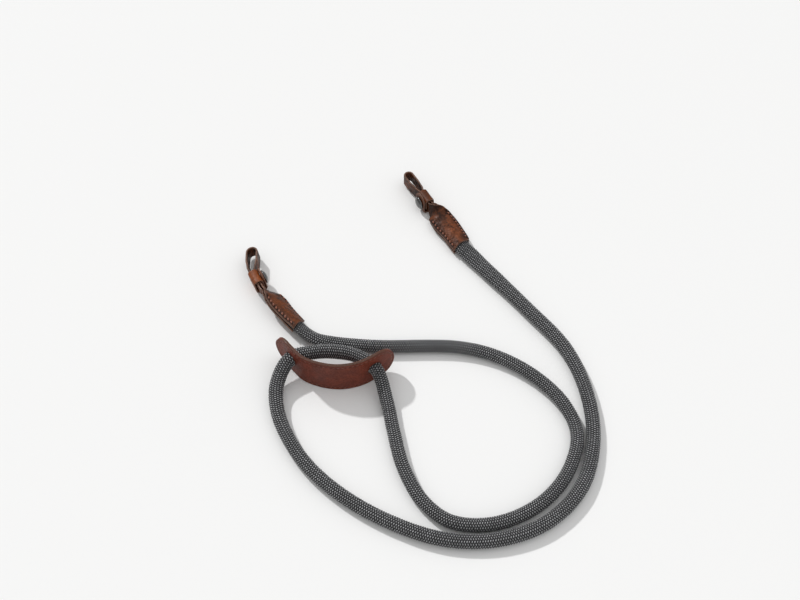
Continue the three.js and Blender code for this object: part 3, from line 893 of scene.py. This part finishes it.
def lug_tab(name, tab, finish):
    """A closed skin: the outer and inner faces run from one mouth round the lug to the other, and
    each face sinks by the edge's rounding near every cut edge."""
    turn_at = tab.end["turn_at"]
    sewn = spaced(EDGE_STEPS[4], SEAM_LENGTH[1], ROW_STEP)
    neck = spaced(SEAM_LENGTH[1] + 0.6, turn_at, NECK_ROW_STEP)
    rows = np.concatenate([EDGE_STEPS[:4], sewn, neck])
    share = tab.shares(rows)
    row = rows[:, None] + 0 * share
    to_edge = np.minimum(tab.width(row) * (1 - np.abs(share)), row)
    turns = spaced(0, math.pi, math.pi / LOOP_STEPS)[1:-1]
    loop_share = tab.shares(turn_at + 0 * turns)
    loop_edge = NECK_HALF_WIDTH * (1 - np.abs(loop_share))
    drop, loop_drop = squeeze(to_edge, tab.edge_radius), squeeze(loop_edge, tab.edge_radius)
    angle = turns[:, None] + 0 * loop_share

    def face(height, loop_height):
        top, bottom = (tab.layer(row, share, height, layer) for layer in (1, -1))
        return np.concatenate([top, tab.turn(angle, loop_share, loop_height), bottom[::-1]])

    def both(top, loop):
        return np.tile(np.concatenate([top, loop, top[::-1]]).ravel(), 2)

    outer = face(TAB_THICKNESS - drop + tab.relief(row, share), TAB_THICKNESS - loop_drop)
    points, quads = closed_sheet(outer, face(drop, loop_drop))
    zero = 0 * loop_share
    # The tab's bulge over the rope, made paler: wear and a painted highlight.
    bulge = (1 - share**2) ** 2 * np.clip(1 - np.abs(row - WEAR_AND_HIGHLIGHT_AT) / WEAR_AND_HIGHLIGHT_REACH, 0, 1)
    values = {
        "edge": both(edge_mask(to_edge, tab.edge_radius), edge_mask(loop_edge, tab.edge_radius)),
        "seam": both(tab.seam_mask(row, share, SEAM_MARGIN_SHADE), zero),
        "wear_and_highlight": both(bulge, zero),
    }
    return add_piece(name, points, quads, finish, values)


def tab_stitches(name, tab, finish):
    """A row of stitches inside each long edge, on the top layer and on the bottom one."""
    starts = np.arange(SEAM_LENGTH[0] + STITCH_PITCH / 2, SEAM_LENGTH[1], STITCH_PITCH)
    for layer, level in ((1, "top"), (-1, "under")):
        for side, edge in ((1, "near"), (-1, "far")):

            def place(along, inward, height):
                share = side * (1 - (SEAM_INSET + inward) / tab.width(along))
                return tab.layer(along, share, TAB_THICKNESS - STITCH_DEPTH + height, layer)

            row = f"{name}_{level}_{edge}"
            add_stitches(row, place, starts, STITCH_LENGTH, STITCH_RADIUS, finish, "leather")


class STRAP_OT_lug_tabs(Operator):
    """Builds the two folded lug tabs and their seams"""

    bl_idname = "strap.lug_tabs"
    bl_label = "Lug Tabs"

    def execute(self, context):
        settings = context.scene.strap_leather
        leather = leather_finish("tab_leather", "tab", settings.tab_colour, settings.raw_colour)
        thread = thread_finish("tab_thread", settings.thread_colour)
        for name, end in ENDS.items():
            tab = Tab(end, settings.edge_radius / MM)
            piece = lug_tab(f"sewn_tab_{name}", tab, leather)
            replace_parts(piece, f"lug_tab_{name}")
            tab_stitches(f"tab_stitches_{name}", tab, thread)
        return {"FINISHED"}


# ---------- keepers and snaps
TONGUE_STEPS = np.array([0.0, 0.05, 0.15, 0.35, 0.7, 1.2, 1.8, 2.5, 3.3, 4.2, 5.1])
KEEPER_WAIST = 0.1
KEEPER_RUB = 0.35


def keeper(name, tab, finish):
    """A strip bent along its path round the neck, with a round tongue: half its width is
    sqrt(r^2 - t^2), t from the tongue's middle, and each face sinks near the cut edges."""
    path = Path(KEEPER_PATH)
    plain = spaced(1.3, path.length - KEEPER_HALF_WIDTH, ROW_STEP)
    along = np.concatenate([EDGE_STEPS[:5], plain, path.length - TONGUE_STEPS[::-1]])
    into_tongue = np.maximum(KEEPER_HALF_WIDTH - (path.length - along), 0)
    half = np.sqrt(np.maximum(KEEPER_HALF_WIDTH**2 - into_tongue**2, 1e-6))
    offset = edge_spaced(half, EDGE_STEPS, 11)
    to_tip = KEEPER_HALF_WIDTH - np.hypot(into_tongue[:, None], offset)
    to_edge = np.maximum(np.minimum(to_tip, along[:, None]), 0)
    drop = squeeze(to_edge, tab.edge_radius)
    place, tangent = path.at(along)[:, None], path.direction(along)[:, None]
    centre, forward, side, lift = tab.keeper_frame()
    waist = KEEPER_WAIST * (1 - (offset / KEEPER_HALF_WIDTH) ** 2)

    def grid(way):
        height = way * (KEEPER_THICKNESS / 2 - drop) - waist
        sideways = place[..., 0] + tangent[..., 1] * height
        upwards = place[..., 1] - tangent[..., 0] * height
        point = centre + offset[..., None] * forward
        return point + sideways[..., None] * side + upwards[..., None] * lift

    points, quads = closed_sheet(grid(1), grid(-1))
    edge = np.tile(edge_mask(to_edge, tab.edge_radius).ravel(), 2)
    values = {"edge": edge, "seam": 0 * edge, "wear_and_highlight": KEEPER_RUB + 0 * edge}
    return add_piece(name, points, quads, finish, values, merge=0.004)


CAP_PROFILE = [
    (-2.2, 0.0), (-2.2, 1.3), (-0.2, 1.3), (-0.15, 3.4), (0.0, 4.0), (0.25, 4.35), (0.55, 4.5),
    (0.95, 4.46), (1.16, 4.3), (1.22, 4.12), (1.16, 3.96), (1.28, 3.8), (1.65, 3.45), (2.02, 2.9),
    (2.32, 2.2), (2.52, 1.4), (2.61, 0.7), (2.63, 0.0),
]
CAP_PROFILE_RADIUS = 4.5
CAP_SIDES = 48
CAP_STEP = 0.16


def snap(name, tab, settings, finish):
    """A lathed shank and cap: a profile (distance along the axis, radius) carried round it."""
    centre, _, side, lift = tab.keeper_frame()
    third = np.cross(lift, side)
    profile = Path(np.array(CAP_PROFILE))
    reach, radius = profile.at(spaced(0, profile.length, CAP_STEP)).T
    radius = np.clip(radius, 0, None) * settings.cap_radius / MM / CAP_PROFILE_RADIUS
    radius[[0, -1]] = 0.0
    turn = np.linspace(0, 2 * np.pi, CAP_SIDES, endpoint=False)[:, None]
    seat = centre + lift * SNAP_HEIGHT + side * CAP_SEAT
    ring = np.cos(turn)[..., None] * lift + np.sin(turn)[..., None] * third
    points = seat + radius[:, None] * ring + reach[:, None] * side
    quads = grid_quads(CAP_SIDES, len(reach), wrap=True)
    return add_piece(name, points.reshape(-1, 3), quads, finish, merge=0.002)


class STRAP_OT_keepers(Operator):
    """Builds the two keepers and their snaps"""

    bl_idname = "strap.keepers"
    bl_label = "Keepers and Snaps"

    def execute(self, context):
        settings = context.scene.strap_leather
        metal = metal_finish("nickel", context.scene.strap_metal.colour)
        for name, end in ENDS.items():
            # A keeper's colour is darkened by its end's factor: painted shade, strongest on the
            # right keeper.
            colour = [end["keeper_painted_shade"] * channel for channel in settings.keeper_colour]
            finish_name = f"keeper_leather_{name}"
            leather = leather_finish(finish_name, "keeper", colour, settings.raw_colour)
            tab = Tab(end, settings.edge_radius / MM)
            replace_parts(keeper(f"neck_keeper_{name}", tab, leather), f"keeper_{name}")
            cap = snap(f"keeper_snap_{name}", tab, context.scene.strap_metal, metal)
            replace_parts(cap, f"snap_{name}")
        return {"FINISHED"}


# ---------- shoulder pad
# The colours of the cut edge and the thread as factors, the seam and its stitches, the outline that
# they follow, how far points lie from the edges and from the tips, and the block of the grid that a
# slot's rings take up.
PAD_EDGE_SHADE = 0.5
PAD_THREAD_SHADE = 0.7
PAD_SEAM_INSET = 2.0
PAD_SEAM_WIDTH = 0.4
PAD_SEAM_DEPTH = 0.16
# The pad's seam groove gets this share of the painted shade.
PAD_SEAM_SHADE = 0.6
PAD_STITCH_PITCH = 2.9
PAD_STITCH_LENGTH = 2.2
PAD_STITCH_RADIUS = 0.24
PAD_STITCH_DEPTH = 0.12
OUTLINE_STEP = 0.05
OUTLINE_EVERY = 20
PAD_EDGE_STEPS = np.array([0.0, 0.08, 0.25, 0.55, 1.0, 1.5, 2.0, 2.5])
PAD_TIP_STEPS = np.array([0.0, 0.08, 0.25, 0.55, 1.0, 1.6, 2.4, 3.3, 4.2, 5.2])
SLOT_EDGE_SHADE = 0.7
SLOT_BLOCK = (7.0, 22.0)
SLOT_ROUNDNESS = 2.0
# How far the rings round a slot lie from its outline, as shares of the way to its block's border.
SLOT_RINGS = np.concatenate([np.linspace(1, 0.35, 5), PAD_EDGE_STEPS[3::-1] / 2.6])
SLOT_ROW_STEP = 1.0
PAD_ROW_STEP = 1.2


class Pad:
    """The pad's front face is a curve seen from above, raised to the pad's width."""

    def __init__(self, edge_radius):
        self.edge_radius = edge_radius
        level = np.column_stack([np.array(PAD_BEND), np.full(len(PAD_BEND), PAD_HALF_WIDTH)])
        self.path = Path(level + LAYOUT_SHIFT)
        self.length = self.path.length

    def into_tip(self, along):
        """How far into a round tip, and below 0 between the tips."""
        return PAD_TIP - np.minimum(along, self.length - along)

    def half_width(self, along):
        """An ellipse at each tip: w sqrt(1 - (t / r)^2)."""
        into = np.clip(self.into_tip(along), 0, PAD_TIP) / PAD_TIP
        return PAD_HALF_WIDTH * np.sqrt(np.maximum(1 - into**2, 1e-8))

    def to_edge(self, along, offset):
        """The distance from the outline: from the sides, or from a tip's round end."""
        into = np.maximum(self.into_tip(along), 0)
        return np.maximum(PAD_HALF_WIDTH - np.hypot(into, offset), 0)

    def seam_mask(self, to_edge):
        return np.exp(-(((to_edge - PAD_SEAM_INSET) / PAD_SEAM_WIDTH) ** 2))

    def place(self, along, offset, depth, behind):
        """A point at a height on the pad and a depth in from its front face or its rear one."""
        middle, _, side, lift = frames(self.path, np.clip(along, 0, self.length))
        depth = PAD_THICKNESS - depth if behind else depth
        return middle + lift * offset[..., None] - side * depth[..., None]

    def skin(self, along, offset, behind, to_hole=None):
        """The front skin or the rear one, sunk near its cut edges and along the seam."""
        to_edge = self.to_edge(along, offset)
        drop = squeeze(to_edge, self.edge_radius)
        if to_hole is not None:
            drop = np.maximum(drop, squeeze(to_hole, self.edge_radius))
        return self.place(along, offset, drop + PAD_SEAM_DEPTH * self.seam_mask(to_edge), behind)


def slot_ring(pad, rows, offsets, centre):
    """The skin round a slot, as rings from the border of a block of the grid on the front face,
    over the slot's rounded edge, through its wall and back out on the rear face. The slot's outline
    is |x / a|^n + |y / b|^n = 1 and each ring lies between it and the border."""
    away = border(np.stack(np.broadcast_arrays(rows[:, None], offsets), axis=-1)) - (centre, 0.0)
    size = np.abs(away / SLOT_HALF_SIZE) ** SLOT_ROUNDNESS
    outline = away / (size.sum(axis=1) ** (1 / SLOT_ROUNDNESS))[:, None]
    gap = np.linalg.norm(away - outline, axis=1)
    to_hole = SLOT_RINGS * gap[:, None]
    spot = outline[:, None] + (away - outline)[:, None] * SLOT_RINGS[:, None]
    along, offset = spot[..., 0] + centre, spot[..., 1]
    front, rear = (pad.skin(along, offset, behind, to_hole) for behind in (False, True))
    edge = SLOT_EDGE_SHADE * edge_mask(to_hole, pad.edge_radius)
    seam = pad.seam_mask(pad.to_edge(along, offset))
    pairs = ((front, rear), (edge, edge), (seam, seam))
    return [np.concatenate([ahead, behind[:, ::-1]], axis=1) for ahead, behind in pairs]


def shoulder_pad(pad, finish):
    """The front and rear grids and the rim between them, with a block of the grid left out round
    each slot and filled by the slot's rings. Points that coincide are merged."""
    blocks = [SLOT_BLOCK, (pad.length - SLOT_BLOCK[1], pad.length - SLOT_BLOCK[0])]
    rows = np.concatenate(
        [
            PAD_TIP_STEPS,
            spaced(*blocks[0], SLOT_ROW_STEP),
            spaced(blocks[0][1], blocks[1][0], PAD_ROW_STEP)[1:-1],
            spaced(*blocks[1], SLOT_ROW_STEP),
            pad.length - PAD_TIP_STEPS[::-1],
        ]
    )
    offset = edge_spaced(pad.half_width(rows), PAD_EDGE_STEPS, 17, 0.9)
    along = rows[:, None] + 0 * offset
    points, quads = closed_sheet(*(pad.skin(along, offset, behind) for behind in (False, True)))
    to_edge = pad.to_edge(along, offset)
    edge = [edge_mask(to_edge, pad.edge_radius).ravel()] * 2
    seam = [pad.seam_mask(to_edge).ravel()] * 2
    inner = slice(len(PAD_EDGE_STEPS) - 1, 1 - len(PAD_EDGE_STEPS))
    face = np.arange(offset[1:, 1:].size).reshape(offset[1:, 1:].shape)
    kept = np.ones(len(quads), bool)
    parts, rings = [points], []
    for low, high in blocks:
        start, stop = np.searchsorted(rows, [low - 1e-6, high - 1e-6])
        hole = face[start:stop, inner].ravel()
        kept[hole] = kept[hole + face.size] = False
        middle = SLOT_FROM_TIP if low < pad.length / 2 else pad.length - SLOT_FROM_TIP
        block = slice(start, stop + 1)
        ring, ring_edge, ring_seam = slot_ring(pad, rows[block], offset[block, inner], middle)
        rings.append(grid_quads(*ring.shape[:2], first=sum(map(len, parts)), wrap=True))
        parts.append(ring.reshape(-1, 3))
        edge.append(ring_edge.ravel())
        seam.append(ring_seam.ravel())
    edge = np.concatenate(edge)
    values = {"edge": edge, "seam": PAD_SEAM_SHADE * np.concatenate(seam), "wear_and_highlight": 0 * edge}
    points, quads = np.concatenate(parts), np.concatenate([quads[kept], *rings])
    return add_piece("bent_pad", points, quads, finish, values, merge=0.004)


def pad_stitches(pad, behind, finish):
    """Stitches all round the pad's outline, a little inside it: up one long edge, round the tip's
    ellipse, and back."""
    line = spaced(0, pad.length, OUTLINE_STEP)
    half = pad.half_width(line) - PAD_SEAM_INSET
    inside = (half > 0.3) & (np.minimum(line, pad.length - line) > PAD_SEAM_INSET + 0.1)
    upper = np.column_stack([line, half])[inside]
    loop = np.concatenate([upper, (upper * (1, -1))[::-1], upper[:1]])
    route = Path(loop[::OUTLINE_EVERY])
    count = int(route.length // PAD_STITCH_PITCH)
    starts = (np.arange(count) + 0.5) * route.length / count

    def place(along, inward, height):
        way = route.direction(along)
        beside = np.stack([-way[..., 1], way[..., 0]], axis=-1)
        spot = route.at(along) + beside * inward[..., None]
        return pad.place(spot[..., 0], spot[..., 1], PAD_STITCH_DEPTH - height, behind)

    name = "pad_stitches_rear" if behind else "pad_stitches_front"
    size = (PAD_STITCH_LENGTH, PAD_STITCH_RADIUS)
    return add_stitches(name, place, starts, *size, finish, "pad_leather")


class STRAP_OT_shoulder_pad(Operator):
    """Builds the slotted shoulder pad and its seam"""

    bl_idname = "strap.shoulder_pad"
    bl_label = "Shoulder Pad"

    def execute(self, context):
        settings = context.scene.strap_leather
        raw = [PAD_EDGE_SHADE * channel for channel in settings.raw_colour]
        leather = leather_finish("pad_leather", "pad", settings.pad_colour, raw)
        pad = Pad(settings.edge_radius / MM)
        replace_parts(shoulder_pad(pad, leather), "shoulder_pad")
        colour = [PAD_THREAD_SHADE * channel for channel in settings.thread_colour]
        thread = thread_finish("pad_thread", colour)
        for behind in (False, True):
            pad_stitches(pad, behind, thread)
        return {"FINISHED"}


# ---------- stage
CAMERA_PLACE = np.array([25.0, -458.0, 600.0])
CAMERA_LENS = 51.75
KEY_DIRECTION = Vector((0.72, -0.78, -1.0))
KEY_ANGLE = math.radians(2.5)
FILL_TOWARDS = Vector((0.3, -0.15, 0.94))
FLOOR_HALF_SIZE = 3.0


def studio_light(level, bright):
    """A white surround, weak all round and strongest from a large soft source: its strength rises
    with the cosine of the angle to that source."""
    world = bpy.data.worlds.new("studio")
    made = Nodes(world, "Background")
    inputs = {0: made.place("Generated"), 1: FILL_TOWARDS.normalized()}
    facing = made.node("VectorMath", inputs, operation="DOT_PRODUCT").outputs["Value"]
    made.shade(Color=rgba((1, 1, 1)), Strength=made.spread(facing, 0.0, 1.0, level, bright))
    return world


class STRAP_OT_stage(Operator):
    """Makes the floor, the lights and the camera"""

    bl_idname = "strap.stage"
    bl_label = "Stage"

    def execute(self, context):
        scene, settings = context.scene, context.scene.strap_stage
        size = FLOOR_HALF_SIZE
        mesh = bpy.data.meshes.new("floor")
        corners = [(-size, -size, 0), (size, -size, 0), (size, size, 0), (-size, size, 0)]
        mesh.from_pydata(corners, [], [(0, 1, 2, 3)])
        mesh.materials.append(floor_finish("floor", settings.floor_colour))
        floor = add_object("floor", mesh)

        sun = bpy.data.lights.new("key", "SUN")
        sun.energy = settings.key_strength
        sun.angle = KEY_ANGLE
        key = add_object("key", sun)
        key.rotation_euler = KEY_DIRECTION.to_track_quat("-Z", "Y").to_euler()

        scene.world = studio_light(settings.fill_level, settings.fill_bright)

        lens = bpy.data.cameras.new("camera")
        lens.lens = CAMERA_LENS
        lens.clip_start = 0.01
        camera = add_object("camera", lens)
        camera.location = (CAMERA_PLACE + LAYOUT_SHIFT) * MM
        camera.rotation_euler = (math.radians(90) - settings.camera_tilt, 0, 0)
        scene.camera = camera
        scene.view_settings.view_transform = "Standard"
        return {"FINISHED"}


class STRAP_PT_strap(Panel):
    """Lists the strap's pieces and their settings"""

    bl_idname = "STRAP_PT_strap"
    bl_label = "Braided Camera Strap"
    bl_space_type = "VIEW_3D"
    bl_region_type = "UI"
    bl_category = "Strap"

    def draw(self, context):
        for operators, settings, label in GROUPS:
            box = self.layout.box()
            box.label(text=label)
            for operator in operators:
                box.operator(operator.bl_idname)
            owner = getattr(context.scene, settings)
            for name in type(owner).__annotations__:
                box.prop(owner, name)


SETTINGS = {
    "strap_stage": StageSettings,
    "strap_rope": RopeSettings,
    "strap_leather": LeatherSettings,
    "strap_metal": MetalSettings,
}
GROUPS = [
    ([STRAP_OT_stage], "strap_stage", "Stage"),
    ([STRAP_OT_rope], "strap_rope", "Rope"),
    ([STRAP_OT_lug_tabs, STRAP_OT_shoulder_pad], "strap_leather", "Leather"),
    ([STRAP_OT_keepers], "strap_metal", "Keepers and Snaps"),
]
OPERATORS = [operator for operators, *_ in GROUPS for operator in operators]
CLASSES = [*SETTINGS.values(), *OPERATORS, STRAP_PT_strap]


def register():
    for item in CLASSES:
        bpy.utils.register_class(item)
    for name, settings in SETTINGS.items():
        setattr(bpy.types.Scene, name, PointerProperty(type=settings))


def unregister():
    for name in SETTINGS:
        delattr(bpy.types.Scene, name)
    for item in reversed(CLASSES):
        bpy.utils.unregister_class(item)


def main():
    register()
    bpy.ops.strap.stage()
    bpy.ops.strap.rope()
    bpy.ops.strap.lug_tabs()
    bpy.ops.strap.keepers()
    bpy.ops.strap.shoulder_pad()


if __name__ == "__main__":
    main()
